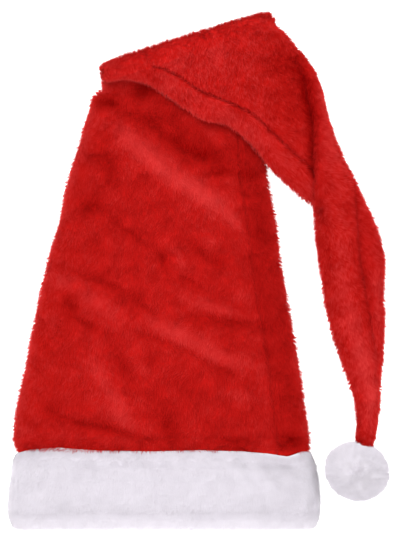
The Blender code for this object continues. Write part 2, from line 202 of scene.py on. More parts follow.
Body = namedtuple("Body", "left_x left_y right_x right_y top seam")
BODY = [Body(*row) for row in [
    (-178.0, -160.0, 107.1, -160.0, 17.5, 0.79),
    (-175.7, -138.0, 103.5, -138.0, 19.5, 0.79),
    (-168.8, -105.0, 99.3, -105.0, 20.5, 0.785),
    (-161.1, -66.0, 92.6, -66.0, 20.5, 0.78),
    (-153.4, -28.0, 85.9, -28.0, 20.5, 0.77),
    (-144.3, 10.0, 79.2, 11.0, 20.0, 0.76),
    (-133.3, 48.0, 74.0, 52.0, 19.0, 0.75),
    (-127.8, 77.0, 67.5, 84.0, 17.5, 0.74),
    (-119.7, 105.0, 65.0, 116.0, 15.0, 0.73),
    (-111.8, 130.0, 64.0, 146.0, 12.0, 0.72),
    (-106.0, 151.0, 66.0, 174.0, 9.6, 0.7),
    (-101.0, 166.0, 69.0, 196.0, 8.8, 0.66),
    (-93.0, 173.0, 70.0, 212.0, 8.3, 0.62),
    (-92.5, 180.0, 71.0, 224.0, 8.0, 0.59),
    (-91.0, 182.8, 74.2, 235.1, 8.0, 0.555),
]]

Tail = namedtuple(
    "Tail",
    "left_x left_y left_up right_x right_y right_up top under seam hidden_seam dip pleat crease groove lobe",
)
TAIL = [Tail(*row) for row in [
    (-91.0, 182.8, 17.0, 74.2, 235.1, 17.0, 8.0, 8.0, 0.445, 0.555, 0.6, 0.96, 1.5, 0.0, 0.0),
    (-80.0, 185.8, 17.2, 81.6, 228.6, 16.8, 8.8, 8.0, 0.530, 0.57, 1.4, 0.94, 1.5, 1.0, 0.5),
    (-65.0, 185.0, 17.6, 89.4, 220.4, 16.2, 9.6, 8.0, 0.565, 0.58, 2.2, 0.91, 1.5, 2.0, 1.0),
    (-47.5, 179.0, 18.2, 95.6, 212.2, 15.4, 10.2, 8.0, 0.600, 0.60, 2.6, 0.88, 1.5, 3.0, 2.0),
    (-25.0, 164.5, 19.6, 103.5, 203.0, 14.2, 10.8, 8.0, 0.600, 0.62, 2.6, 0.86, 1.5, 4.0, 3.5),
    (2.5, 146.5, 21.2, 112.5, 190.0, 12.5, 11.2, 8.0, 0.450, 0.64, 2.6, 0.80, 1.5, 4.5, 5.0),
    (28.0, 140.0, 21.2, 117.8, 177.0, 10.5, 11.4, 8.0, 0.505, 0.66, 2.6, 0.69, 1.5, 5.0, 6.0),
    (51.5, 120.4, 19.0, 121.5, 160.0, 7.5, 11.6, 8.0, 0.460, 0.68, 2.6, 0.59, 1.45, 5.5, 7.0),
    (75.0, 92.2, 13.0, 126.4, 142.0, 4.5, 12.0, 8.0, 0.300, 0.70, 2.4, 0.36, 1.35, 6.0, 7.5),
    (98.0, 72.4, 5.0, 131.9, 125.5, 2.0, 12.6, 8.0, 0.240, 0.73, 1.5, -0.24, 1.2, 6.0, 7.5),
    (111.5, 62.0, 1.5, 138.9, 110.0, 1.0, 13.2, 8.0, 0.700, 0.76, 0.5, -0.95, 1.02, 5.5, 7.0),
    (113.6, 46.0, 0.5, 149.2, 91.0, 0.5, 13.8, 8.0, 0.900, 0.79, 0.3, -1.4, 0.93, 5.5, 6.0),
    (114.6, 29.0, 0.0, 160.2, 67.5, 0.0, 14.0, 8.0, 0.940, 0.82, 0.3, -1.6, 0.60, 4.6, 5.0),
    (116.6, 12.0, 0.0, 172.2, 41.5, 0.0, 14.0, 8.0, 0.940, 0.84, 0.3, -1.6, 0.33, 5.1, 4.5),
    (119.6, -9.0, 0.0, 179.7, 12.0, 0.0, 14.0, 8.0, 0.940, 0.86, 0.3, -1.6, 0.22, 5.1, 4.0),
    (123.3, -33.0, 0.0, 178.9, -21.0, 0.0, 13.5, 8.0, 0.940, 0.88, 0.3, -1.6, 0.37, 4.6, 3.5),
    (128.9, -56.0, 0.0, 179.9, -50.0, 0.0, 13.0, 8.0, 0.940, 0.90, 0.3, -1.6, 0.47, 4.1, 3.0),
    (136.8, -83.0, 0.5, 178.6, -78.0, 0.5, 12.0, 7.5, 0.940, 0.90, 0.3, -1.6, 0.62, 4.0, 2.0),
    (145.8, -107.0, 2.0, 175.9, -104.0, 2.0, 10.5, 7.5, 0.930, 0.90, 0.3, -1.6, 0.71, 2.0, 0.8),
    (151.6, -129.0, 5.0, 174.5, -128.0, 5.0, 9.0, 7.0, 0.920, 0.90, 0.3, -1.6, 0.8, 0.5, 0.0),
    (152.9, -148.0, 10.0, 172.1, -148.0, 10.0, 7.6, 6.2, 0.910, 0.90, 0.3, -1.6, 0.8, 0.0, 0.0),
    (151.8, -163.0, 15.0, 168.5, -163.0, 15.0, 6.4, 5.4, 0.900, 0.90, 0.2, -1.6, 0.8, 0.0, 0.0),
    (153.0, -174.0, 18.0, 164.9, -174.0, 18.0, 5.4, 5.2, 0.900, 0.90, 0.2, -1.6, 0.8, 0.0, 0.0),
]]

# %% Sizes of the brim
BRIM_PLY = 3.0
POCKET_GAP = 0.6
BRIM_WALL = 2 * BRIM_PLY + CLOTH + 2 * POCKET_GAP
BRIM_EDGE_HEIGHT = 13.0
BRIM_TOP = -172.5
BRIM_BOTTOM = -247.7
POCKET_DEPTH = 7.5
TUCKED_IN = 6.5
LIP_THINNING = 1.7
EDGE_WAVES = [(-176, -3.6), (-160, 1.0), (-134, 3.0), (-98, 0.4), (-47, -0.3), (2, 0.8),
              (41, -0.4), (67, -2.8), (86, -6.0), (100, -1.2), (110, -2.0)]

Brim = namedtuple("Brim", "y left_x right_x top")
BRIM = [
    Brim(BRIM_TOP - POCKET_DEPTH, -177.8, 110.6, 21.0),
    Brim(-188, -178.6, 113.0, 25.0),
    Brim(-200, -180.2, 115.0, 28.0),
    Brim(-212, -181.8, 116.6, 28.8),
    Brim(-222, -182.6, 117.2, 28.2),
    Brim(-230, -182.8, 117.0, 26.8),
    Brim(-237, -182.4, 116.4, 26.8),
    Brim(BRIM_BOTTOM + BRIM_WALL / 2, -180.6, 115.0, 25.0),
]


def line_at(x, line):
    """A line's y at these x, straight from each of its points to the next."""
    return np.interp(x, *np.array(line).T)


# %% [markdown]
# ## Folds that the cloth took as it lay
#
# A real hat was squeezed and pulled before it was laid down, so its front has soft ridges, dents and
# thin creases. Each is a long mound: highest at its middle, and falling off along and across it as a
# bell curve does. A height below 0 is a dent. The last number is painted light and shade in the pile's
# colour, with some of the pile's own tone where it lies another way: above 0 lighter, as a lit ridge is,
# and below 0 darker, as a dent, a crease or the shadow under the fold is.

# %% Folds
Fold = namedtuple("Fold", "x y turn length width height light")
BODY_FOLDS = [Fold(*row) for row in [
    (-45, 108, -38, 36, 13, 2.5, 0.5),
    (-68, 130, -42, 18, 10, 0.5, 0.3),
    (8, 72, -33, 28, 12, 2.0, 0.55),
    (-22, 90, -38, 40, 9, 1.0, 0.25),
    (32, 50, -50, 14, 8, 1.0, 0.35),
    (-18, 14, -65, 14, 5, 1.0, 0.3),
    (12, 28, 0, 6, 6, 0.5, 0.3),
    (12, -33, -16, 34, 5.5, 1.2, 0.35),
    (45, -24, 0, 12, 5, 0.5, 0.2),
    (-95, -32, -38, 34, 11, 1.8, 0.35),
    (-25, -57, -28, 26, 10, 2.0, 0.45),
    (12, -76, -26, 30, 11, 1.8, 0.38),
    (50, -92, -20, 25, 8, 1.0, 0.2),
    (-52, -92, 0, 6, 6, 0.8, 0.35),
    (-95, -92, -65, 18, 8, 1.2, 0.3),
    (-76, -130, -55, 30, 10, 2.0, 0.5),
    (-120, -97, 0, 12, 8, 0.8, 0.2),
    (40, -117, -8, 18, 5, 0.8, 0.3),
    (5, -157, 0, 12, 5, 0.5, 0.15),
    (-135, -8, -25, 14, 5, 0.5, 0.25),
    (-50, 160, 0, 7, 7, 0.5, 0.2),
    (12, 132, -35, 14, 4, 0.5, 0.3),
    (-52, 176, -10, 10, 8, -1.5, -0.6),
    (-88, 163, -8, 13, 5, -2.0, -0.7),
    (-60, 150, -30, 22, 6, -1.5, -0.35),
    (-25, 127, -40, 22, 7, -2.0, -0.4),
    (3, 113, -18, 17, 8, -2.5, -0.7),
    (22, 96, 5, 13, 5, -1.5, -0.6),
    (47, 92, 0, 10, 5, -1.0, -0.4),
    (-30, 148, -40, 40, 13, -1.5, -0.35),
    (20, 118, -35, 30, 10, -0.8, -0.2),
    (-88, 105, -70, 18, 9, -1.5, -0.35),
    (-105, 65, -10, 12, 8, -1.8, -0.5),
    (-68, 40, -38, 30, 3.5, -1.2, -0.35),
    (-33, 10, -70, 12, 4, -1.3, -0.45),
    (0, 22, -50, 12, 5, -1.2, -0.4),
    (20, 9, -30, 8, 6, -1.4, -0.5),
    (-5, -10, -25, 16, 3.5, -0.8, -0.3),
    (28, -47, -5, 40, 5.5, -1.5, -0.4),
    (-85, -12, -20, 36, 4, -1.2, -0.35),
    (-50, -34, -32, 14, 3.5, -1.0, -0.35),
    (-124, -30, -60, 12, 7, -1.3, -0.45),
    (-105, -50, -25, 20, 3.5, -1.0, -0.35),
    (-30, -68, -22, 40, 3, -0.8, -0.25),
    (20, -92, -24, 26, 3, -0.8, -0.3),
    (-73, -90, -80, 12, 6, -1.2, -0.35),
    (-148, -70, -70, 12, 6, -0.6, -0.25),
    (-95, -148, -14, 42, 4, -1.8, -0.5),
    (-140, -132, -30, 14, 6, -0.8, -0.25),
    (-29, -143, -75, 20, 9, -1.8, -0.4),
    (35, -162, 0, 18, 4, -1.0, -0.45),
    (90, -162, 0, 8, 8, -1.0, -0.5),
    (-20, -110, 0, 30, 10, -0.5, -0.12),
    (60, 38, -88, 28, 7, 0.0, -0.2),
]]
# Past the turn many folds have no height: they only paint light and shade.
TAIL_FOLDS = [Fold(*row) for row in [
    (93, 203, -50, 14, 7, -1.0, -0.5),
    (102, 178, -78, 18, 7, -1.5, -0.8),
    (106, 148, -85, 24, 7, -1.5, -0.9),
    (107, 112, -90, 18, 5, -1.0, -0.5),
    (105, 97, -40, 8, 4, -1.0, -0.4),
    (80, 200, -50, 24, 16, -1.0, -0.3),
    (88, 160, -85, 34, 12, -0.8, -0.22),
    (20, 152, -32, 60, 7, 0.0, 0.18),
    (70, 118, -42, 30, 7, 0.0, 0.15),
    (-84, 191, -20, 9, 4, -0.6, -0.2),
    (-65, 200, -40, 8, 5, -0.5, -0.3),
    (-50, 192, -50, 14, 6, -0.5, -0.2),
    (10, 200, 10, 60, 18, 0.0, 0.1),
    (118, 170, -75, 30, 5, 0.0, 0.2),
    (125, 120, -75, 35, 10, 0.0, 0.25),
    (118, 40, -87, 60, 6, 0.0, -0.2),
    (126, -50, -65, 40, 6, 0.0, -0.2),
    (135, 20, -87, 60, 8, 0.0, 0.15),
    (150, -60, -75, 45, 9, 0.0, 0.35),
    (150, 70, -85, 20, 4, -0.5, -0.25),
    (157, 10, -80, 35, 6, -0.5, -0.2),
    (163, -38, -78, 26, 5, -0.5, -0.25),
    (172, -10, 90, 45, 4, 0.0, 0.3),
    (162, -100, -75, 30, 9, 0.0, 0.45),
    (165, -130, 90, 22, 5, 0.0, 0.35),
    (168, 30, -65, 20, 6, 0.0, -0.15),
    (153, -130, -85, 22, 4, 0.0, -0.15),
    (118, 54, 0, 7, 10, 0.0, 0.25),
]]


def folds_at(x, y, folds, column="height"):
    """The sum of the folds' heights: each is its height times e to minus the square of the way along
    it over its length, and minus the square of the way across it over its width. The column "light",
    the painted light and shade, is added up in the same way."""
    total = np.zeros_like(x)
    for fold in folds:
        turn = np.radians(fold.turn)
        along = (x - fold.x) * np.cos(turn) + (y - fold.y) * np.sin(turn)
        across = (y - fold.y) * np.cos(turn) - (x - fold.x) * np.sin(turn)
        total += getattr(fold, column) * np.exp(-((along / fold.length) ** 2) - (across / fold.width) ** 2)
    return total


def waves(places, size, seed):
    """Soft noise of mean 0 and spread 1: a sum of sine waves about size long, in random directions."""
    count = 20
    draw = np.random.default_rng(seed)
    ways = unit(draw.normal(size=(count, places.shape[-1])))
    ways *= (2 * np.pi / size * draw.uniform(0.6, 1.5, count))[:, None]
    starts = draw.uniform(0, 2 * np.pi, count)
    total = np.zeros(places.shape[:-1])
    for way, start in zip(ways, starts):
        total += np.sin(places @ way + start)
    return total / np.sqrt(count / 2)


def unit(vectors):
    return vectors / np.maximum(np.linalg.norm(vectors, axis=-1, keepdims=True), 1e-12)


print("folds:", len(BODY_FOLDS), "on the body and", len(TAIL_FOLDS), "past the turn")

# %% [markdown]
# ## Sections all along the sleeve
#
# The body's sections come first, then the fold, where the sleeve's middle turns half round a line, and
# then the tail's. A station is a whole number that counts the sections. Any place between two sections
# is a station with a fraction, which later lets a tuft grow anywhere on the cloth.

# %% Stations
BODY_STATIONS = 120
TURN_STATIONS = 12
TAIL_STATIONS = 150


def smooth_rows(rows, count):
    """A table's columns at even steps along a cubic curve through its rows, whose slope at each row is
    that of its neighbours. The step is the way that the left and the right edge go, added up."""
    table = np.array(rows, float)
    right = rows[0]._fields.index("right_x")
    left_step = np.linalg.norm(np.diff(table[:, 0:2], axis=0), axis=1)
    right_step = np.linalg.norm(np.diff(table[:, right : right + 2], axis=0), axis=1)
    along = np.concatenate([[0], np.cumsum(left_step + right_step)])
    slope = np.gradient(table, along, axis=0)
    place = np.linspace(0, along[-1], count)
    row = np.clip(np.searchsorted(along, place, side="right") - 1, 0, len(along) - 2)
    step = along[row + 1] - along[row]
    share = ((place - along[row]) / step)[:, None]
    step = step[:, None]
    found = (
        (2 * share**3 - 3 * share**2 + 1) * table[row]
        + (share**3 - 2 * share**2 + share) * step * slope[row]
        + (3 * share**2 - 2 * share**3) * table[row + 1]
        + (share**3 - share**2) * step * slope[row + 1]
    )
    return {name: found[:, i] for i, name in enumerate(rows[0]._fields)}


def stretch(columns, left_z, right_z, front, back, upper):
    """One stretch of the sleeve: its edges, the rise of its two sides, and which of them is upper. A
    stretch without grooves has them two half widths from its middle, where there is no cloth."""
    zero = np.zeros(len(front))
    made = {name: columns.get(name, zero) for name in ("dip", "groove", "lobe", "creased")}
    made["pleat"] = columns.get("pleat", zero - 2)
    made["crease"] = columns.get("crease", zero + 2)
    made["seam"] = columns["seam"]
    made["hidden_seam"] = columns.get("hidden_seam", columns["seam"])
    made["left"] = np.stack([columns["left_x"], columns["left_y"], left_z], axis=1)
    made["right"] = np.stack([columns["right_x"], columns["right_y"], right_z], axis=1)
    made["front"], made["back"] = front, back
    made["front_power"] = zero + (TOP_FULLNESS if upper > 0 else UNDER_FULLNESS)
    made["back_power"] = zero + (UNDER_FULLNESS if upper > 0 else TOP_FULLNESS)
    made["upper"] = zero + upper
    across = unit(made["right"] - made["left"])
    facing = np.tile([0.0, 0.0, upper], (len(front), 1))
    made["facing"] = unit(facing - (facing * across).sum(1, keepdims=True) * across)
    return made


def tucked_stretch():
    """The crown's lower edge, held in the brim's pocket."""
    inset = BRIM_PLY + POCKET_GAP
    y = np.array([BRIM_TOP - TUCKED_IN, BRIM_TOP + 1.0])
    one = np.ones(2)
    columns = {
        "left_x": (BRIM[0].left_x + inset) * one,
        "right_x": (BRIM[0].right_x - inset) * one,
        "left_y": y,
        "right_y": y,
        "seam": BODY[0].seam * one,
    }
    edge = BRIM_EDGE_HEIGHT * one
    return stretch(columns, edge, edge, (BRIM[0].top - inset) * one, edge - inset, 1)


def body_stretch():
    """The body, from the brim to where the sleeve starts to turn over."""
    columns = smooth_rows(BODY, BODY_STATIONS)
    columns["dip"] = np.full(BODY_STATIONS, SEAM_DIP)
    columns["creased"] = np.ones(BODY_STATIONS)
    edge = np.full(BODY_STATIONS, EDGE_HEIGHT)
    return stretch(columns, edge, edge, columns["top"], edge, 1)


def turn_stretch(body, tail):
    """The fold: the sleeve's middle goes half round a circle, and the side that faces up turns with it."""
    angle = np.linspace(0, np.pi, TURN_STATIONS + 2)[1:-1]
    share = (angle / np.pi)[:, None]
    made = {}
    for name in body:
        first, last = body[name][-1:], tail[name][:1]
        made[name] = first + (last - first) * (share if first.ndim == 2 else share[:, 0])
    across = unit(body["right"][-1] - body["left"][-1])
    outward = np.cross([0, 0, 1.0], across)
    rise = (tail["left"][0] - body["left"][-1])[2] / 2
    path = np.outer(np.sin(angle), outward) * rise
    path[:, 2] = rise * (1 - np.cos(angle))
    made["creased"] = np.zeros(TURN_STATIONS)
    made["left"] = body["left"][-1] + path
    made["right"] = body["right"][-1] + path
    made["facing"] = np.outer(np.cos(angle), [0, 0, 1.0]) - np.outer(np.sin(angle), outward)
    return made


def tail_stretch():
    """The tail, which lies on its front, from the fold to the point."""
    columns = smooth_rows(TAIL, TAIL_STATIONS)
    columns["creased"] = np.ones(TAIL_STATIONS)
    under = columns["under"]
    left_z, right_z = columns["left_up"] + under, columns["right_up"] + under
    return stretch(columns, left_z, right_z, under, columns["top"], -1)


def whole_sleeve():
    """All stretches in one: each column's values, one after the other."""
    body, tail = body_stretch(), tail_stretch()
    stretches = [tucked_stretch(), body, turn_stretch(body, tail), tail]
    return {name: np.concatenate([s[name] for s in stretches]) for name in body}


def at_stations(s, stations):
    """Every column of the sections, read between two stations in proportion."""
    low = np.clip(np.floor(stations).astype(int), 0, len(s["front"]) - 2)
    share = stations - low
    return {
        name: column[low] + (column[low + 1] - column[low]) * (share[:, None] if column.ndim == 2 else share)
        for name, column in s.items()
    }


sleeve = whole_sleeve()
FIRST_BODY = 2
FIRST_TURN = FIRST_BODY + BODY_STATIONS
FIRST_TAIL = FIRST_TURN + TURN_STATIONS
LAST_STATION = FIRST_TAIL + TAIL_STATIONS - 1
print("stations:", LAST_STATION + 1)

# %% [markdown]
# ## The cloth's surface
#
# A point of the sleeve needs a station and a girth. The girth runs from 0 at the right edge over the
# front to 2 at the left edge, and back under it to 4. A section is a superellipse: its height is one
# minus the share of the half width to some power, to one over that power. A power of 2 would make an
# ellipse; 2.3 gives the fuller front of padded cloth, and 5 the nearly flat back. The folds, the seams
# and the grooves along the tail are added to that height.

# %% Surface


def spread_across(x):
    """Shares of the half width for even steps x: a mix of x and the sine of a quarter turn times x."""
    return (1 - CELL_SPREAD) * x + CELL_SPREAD * np.sin(np.pi / 2 * x)


def girth_of(share):
    """The girth at which the front lies that share of the half width to the right."""
    x = np.linspace(-1, 1, 401)
    return 1 - np.interp(share, spread_across(x), x)


def tail_relief(s, share, half):
    """Two S-curves lift the rolled lobe between the tail's grooves, and each groove falls off from its
    line as e to minus the distance."""
    past_pleat = (share - s["pleat"][:, None]) * half
    before_crease = (s["crease"][:, None] - share) * half
    rising = 1 / (1 + np.exp(-past_pleat / LOBE_SOFTNESS * 2))
    falling = 1 / (1 + np.exp(-before_crease / LOBE_SOFTNESS * 2))
    grooves = sum(np.exp(-np.abs(away) / GROOVE_WIDTH) for away in (past_pleat, before_crease))
    return s["lobe"][:, None] * rising * falling - s["groove"][:, None] * grooves


def on_section(s, girth):
    """For a girth: whether it is on the front, its share of the half width, and whether it faces up."""
    on_front = girth <= 2
    share = np.clip(spread_across(np.where(on_front, 1 - girth, girth - 3)), -1, 1)
    return on_front, share, np.where(on_front, 1, -1) * s["upper"][:, None] > 0


def relief_at(s, girth, place, half):
    """Folds and grooves, fading out at the sleeve's edges, less the valley along each seam."""
    _, share, is_top = on_section(s, girth)
    x, y = place[..., 0], place[..., 1]
    body = folds_at(x, y, BODY_FOLDS)
    tail = folds_at(x, y, TAIL_FOLDS) + tail_relief(s, share, half)
    relief = np.where(s["upper"][:, None] > 0, body, tail)
    relief = np.where(is_top, relief, 0) * (1 - np.abs(share) ** RELIEF_FADE) * s["creased"][:, None]
    return relief - s["dip"][:, None] * np.exp(-((seam_distance(s, girth, half) / SEAM_WIDTH) ** 2))


def seam_distance(s, girth, half):
    """How far across the sleeve a point lies from the seam on its own side, in millimetres."""
    on_front, share, _ = on_section(s, girth)
    return np.where(on_front, share - s["hidden_seam"][:, None], share + s["seam"][:, None]) * half


def sleeve_points(s, girth, depth):
    """Points of the sleeve, depth below its outer surface: the section's middle, plus the share of the
    half width across, plus the swell and the relief along the way that the front faces."""
    on_front, share, _ = on_section(s, girth)
    power = np.where(on_front, s["front_power"][:, None], s["back_power"][:, None])
    flatness = 1 + (UNDER_FLATNESS - 1) * (power - TOP_FULLNESS) / (UNDER_FULLNESS - TOP_FULLNESS)
    swell = np.minimum(1, flatness * (1 - np.abs(share) ** power) ** (1 / power))
    rise = np.where(on_front, s["front"][:, None], s["back"][:, None]) - depth
    middle, reach = (s["left"] + s["right"]) / 2, (s["right"] - s["left"]) / 2
    half = np.linalg.norm(reach, axis=1)[:, None]
    place = middle[:, None] + unit(reach)[:, None] * ((half - depth) * share)[..., None]
    height = np.where(on_front, 1, -1) * (rise * swell + relief_at(s, girth, place, half))
    return place + s["facing"][:, None] * height[..., None]


def grid_normals(surface, u, v, step_u, step_v):
    """Outward normals at (u, v): the cross product of the surface's two small steps."""
    along = surface(u + step_u, v) - surface(u - step_u, v)
    across = surface(u, v + step_v) - surface(u, v - step_v)
    return unit(np.cross(along, across))


# %% [markdown]
# ## Two red panels
#
# Each panel is one sheet of cloth with a real thickness: an outer grid of points, an inner one 3 mm
# deeper, and a rim that closes them. The panels end a hair short of each other along the seams, as two
# pieces of fabric do. A little depth is left for the pile to grow from, so that the pile's tips and not
# the backing make the outline.

# %% Panels
PILE_ROOM = 0.8
SEWN_GAP = 0.15
PANEL_CELLS = 54
BACKING_REACH = 0.25
MIDDLE_TINT = 0.5
SHADE_RANGE = (-0.9, 0.8)
STRIP_SHADE = 0.25
STRIP_SOFTNESS = 3
SEAM_SHADE = 0.10
TAIL_SHADE = 0.08


def sheet_faces(rows, columns):
    """Quads of a closed sheet: an outer grid of points, an inner one after it, and their rim."""
    index = np.arange(rows * columns).reshape(rows, columns)
    inner = index + rows * columns
    a, b, c, d = index[:-1, :-1], index[1:, :-1], index[1:, 1:], index[:-1, 1:]
    outside = np.stack([a, b, c, d], axis=-1).reshape(-1, 4)
    inside = outside[:, ::-1] + rows * columns
    ring = np.concatenate([index[0, :-1], index[:-1, -1], index[-1, :0:-1], index[:0:-1, 0]])
    back_ring = inner.reshape(-1)[ring]
    rim = np.stack([ring, np.roll(ring, -1), np.roll(back_ring, -1), back_ring], axis=1)
    return np.concatenate([outside, inside, rim])


def seam_girths(s):
    """The girths of the right seam and of the left one."""
    return girth_of(s["hidden_seam"]), 4 - girth_of(-s["seam"])


def wrapped(girth):
    """The same place round the section, as a girth from 0 to 4."""
    return np.mod(girth, 4)


def sleeve_shade(s, girth):
    """How much lighter (above 0) or darker the pile looks: the sum of the folds' painted light and shade,
    less painted shade along the seams' dip and a darker tone on the strip to the right of the body's
    seam, and a little more on the tail."""
    reach = (s["right"] - s["left"]) / 2
    half = np.linalg.norm(reach, axis=1)[:, None]
    on_front, share, is_top = on_section(s, girth)
    place = ((s["left"] + s["right"]) / 2)[:, None] + reach[:, None] * share[..., None]
    x, y = place[..., 0], place[..., 1]
    body = s["upper"][:, None] > 0
    light = np.where(body, folds_at(x, y, BODY_FOLDS, "light"), folds_at(x, y, TAIL_FOLDS, "light"))
    light = np.where(is_top, light, 0) * s["creased"][:, None]
    away = seam_distance(s, girth, half)
    strip = np.where(on_front & body, 1 / (1 + np.exp(-away / STRIP_SOFTNESS)), 0)
    seam = np.where(is_top, np.exp(-((away / SEAM_WIDTH) ** 2)), 0) * s["dip"][:, None]
    light = np.clip(light, *SHADE_RANGE) - STRIP_SHADE * strip - SEAM_SHADE * seam
    return light + np.where(body, 0, TAIL_SHADE)


def panel(name, start, end, material):
    """One panel of the crown, from the girth start to the girth end at each station."""
    stations = len(sleeve["front"])
    half = np.linalg.norm(sleeve["right"] - sleeve["left"], axis=1) / 2
    gap = SEWN_GAP / half / (1 - CELL_SPREAD)
    steps = np.linspace(0, 1, PANEL_CELLS + 1)
    girth = wrapped((start + gap)[:, None] + (end - start - 2 * gap)[:, None] * steps)
    layers = [sleeve_points(sleeve, girth, depth).reshape(-1, 3) for depth in (PILE_ROOM, CLOTH)]
    faces = sheet_faces(stations, PANEL_CELLS + 1)
    mesh = mesh_of(name, np.concatenate(layers), faces)
    shade = sleeve_shade(sleeve, girth).ravel()
    give(mesh, shade=np.concatenate([shade, shade]), reach=BACKING_REACH, tuft=MIDDLE_TINT)
    mesh.materials.append(material)
    made = linked(bpy.data.objects.new(name, mesh))
    print(name, "triangles:", 2 * len(faces))
    return made


# %% [markdown]
# ## Plush
#
# Plush has no gloss: light goes in between the fibres, and only their tips catch it. So the colour
# carries the look: dark at the roots, lighter at the tips, a little different from tuft to tuft, and
# mottled where the pile was pressed. Sheen adds the pale rim that velvet shows where it turns away.

# %% Plush material
Plush = namedtuple("Plush", "name root middle tip by_reach by_tuft mottle grain sheen sheen_tint")
RED = Plush("red_plush", (0.175, 0.0008, 0.0006), (0.35, 0.0066, 0.0054), (0.505, 0.030, 0.028),
            0.25, 0.14, 0.16, 0.10, 0.20, (1.0, 0.15, 0.14))
WHITE = Plush("white_plush", (0.36, 0.336, 0.37), (0.57, 0.537, 0.585), (0.78, 0.743, 0.79),
              0.06, 0.05, 0.04, 0.04, 0.10, (1.0, 0.98, 1.0))
RAMP_MIDDLE = 0.5
SHADE_WEIGHT = 0.55
MIDDLE_REACH = 0.55
PATCH_SCALE = 45
FIBRE_SCALE = 700


def plush_material(look):
    """Base colour = ramp(0.5 + shade + part of the way up the tuft + its own tint + two noises)."""
    material = bpy.data.materials.new(look.name)
    material.use_nodes = True
    tree = material.node_tree
    shader = tree.nodes["Principled BSDF"]
    set_inputs(shader, {
        "Specular IOR Level": 0.0,
        "Sheen Weight": look.sheen,
        "Sheen Roughness": 0.45,
        "Sheen Tint": (*look.sheen_tint, 1),
    })
    where = node(tree, "TexCoord").outputs["Object"]

    def noise(scale):
        made = node(tree, "TexNoise", scale=scale, detail=2.0)
        join(tree, where, made.inputs["Vector"])
        return made.outputs["Fac"]

    def part(source, factor, offset, total):
        """total + (source - offset) * factor, where total is a number or what came before."""
        away = node(tree, "Math", operation="SUBTRACT")
        join(tree, source, away.inputs[0])
        away.inputs[1].default_value = offset
        made = node(tree, "Math", operation="MULTIPLY_ADD")
        join(tree, away.outputs[0], made.inputs[0])
        made.inputs[1].default_value = factor
        if isinstance(total, float):
            made.inputs[2].default_value = total
        else:
            join(tree, total, made.inputs[2])
        return made.outputs[0]

    def attribute(name):
        return node(tree, "Attribute", attribute_name=name).outputs["Fac"]

    patches, fibres = noise(PATCH_SCALE), noise(FIBRE_SCALE)
    level = part(attribute("shade"), SHADE_WEIGHT, 0.0, RAMP_MIDDLE)
    level = part(attribute("reach"), look.by_reach, MIDDLE_REACH, level)
    level = part(attribute("tuft"), look.by_tuft, MIDDLE_TINT, level)
    level = part(patches, look.mottle, MIDDLE_TINT, level)
    level = part(fibres, look.grain, MIDDLE_TINT, level)
    ramp = node(tree, "ValToRGB")
    ramp.color_ramp.elements[0].color = (*look.root, 1)
    ramp.color_ramp.elements[1].color = (*look.tip, 1)
    ramp.color_ramp.elements.new(RAMP_MIDDLE).color = (*look.middle, 1)
    join(tree, level, ramp.inputs["Fac"])
    join(tree, ramp.outputs["Color"], shader.inputs["Base Color"])
    rough = node(tree, "MapRange", clamp=True)
    set_inputs(rough, {"To Min": 0.82, "To Max": 0.98})
    join(tree, fibres, rough.inputs["Value"])
    join(tree, rough.outputs["Result"], shader.inputs["Roughness"])
    bump = node(tree, "Bump")
    set_inputs(bump, {"Strength": 0.4, "Distance": 0.0006})
    join(tree, fibres, bump.inputs["Height"])
    join(tree, bump.outputs["Normal"], shader.inputs["Normal"])
    return material


red, white = plush_material(RED), plush_material(WHITE)

# %% Crown backings
right_seam, left_seam = seam_girths(sleeve)
crown_front = panel("crown_front_backing", right_seam, left_seam, red)
crown_back = panel("crown_back_backing", left_seam, right_seam + 4, red)

# %% [markdown]
# ## Tufts
#
# Real pile has some 50 fibres on each square millimetre, which no mesh can hold. What the eye sees is
# coarser: fibres cling together in small pointed tufts about a millimetre wide. So each tuft is one
# closed spike with three sides, four points and four faces. Its normals are bent towards the cloth's
# own, because a real tuft scatters light as a soft brush does, and hard facets would glitter.

# %% Tuft meshes
SPIKE_FACES = np.array([[0, 1, 3], [1, 2, 3], [2, 0, 3], [0, 2, 1]])
SPIKE_MAP = np.array([[0, 0], [0.33, 0], [0.16, 1], [0.33, 0], [0.66, 0], [0.5, 1],
                      [0.66, 0], [1, 0], [0.83, 1], [0.9, 0.9], [1, 0.9], [0.95, 1]])
MAP_MARGIN = 0.1
BAKE_MAP = "OFBake"
ABOVE_TABLE = 0.15
RED_BEND = 0.65


def sideways(ways):
    """Two unit vectors at right angles to each way and to each other."""
    helper = np.where(np.abs(ways[:, 2:]) < 0.9, [[0, 0, 1.0]], [[1.0, 0, 0]])
    first = unit(np.cross(helper, ways))
    return first, np.cross(ways, first)


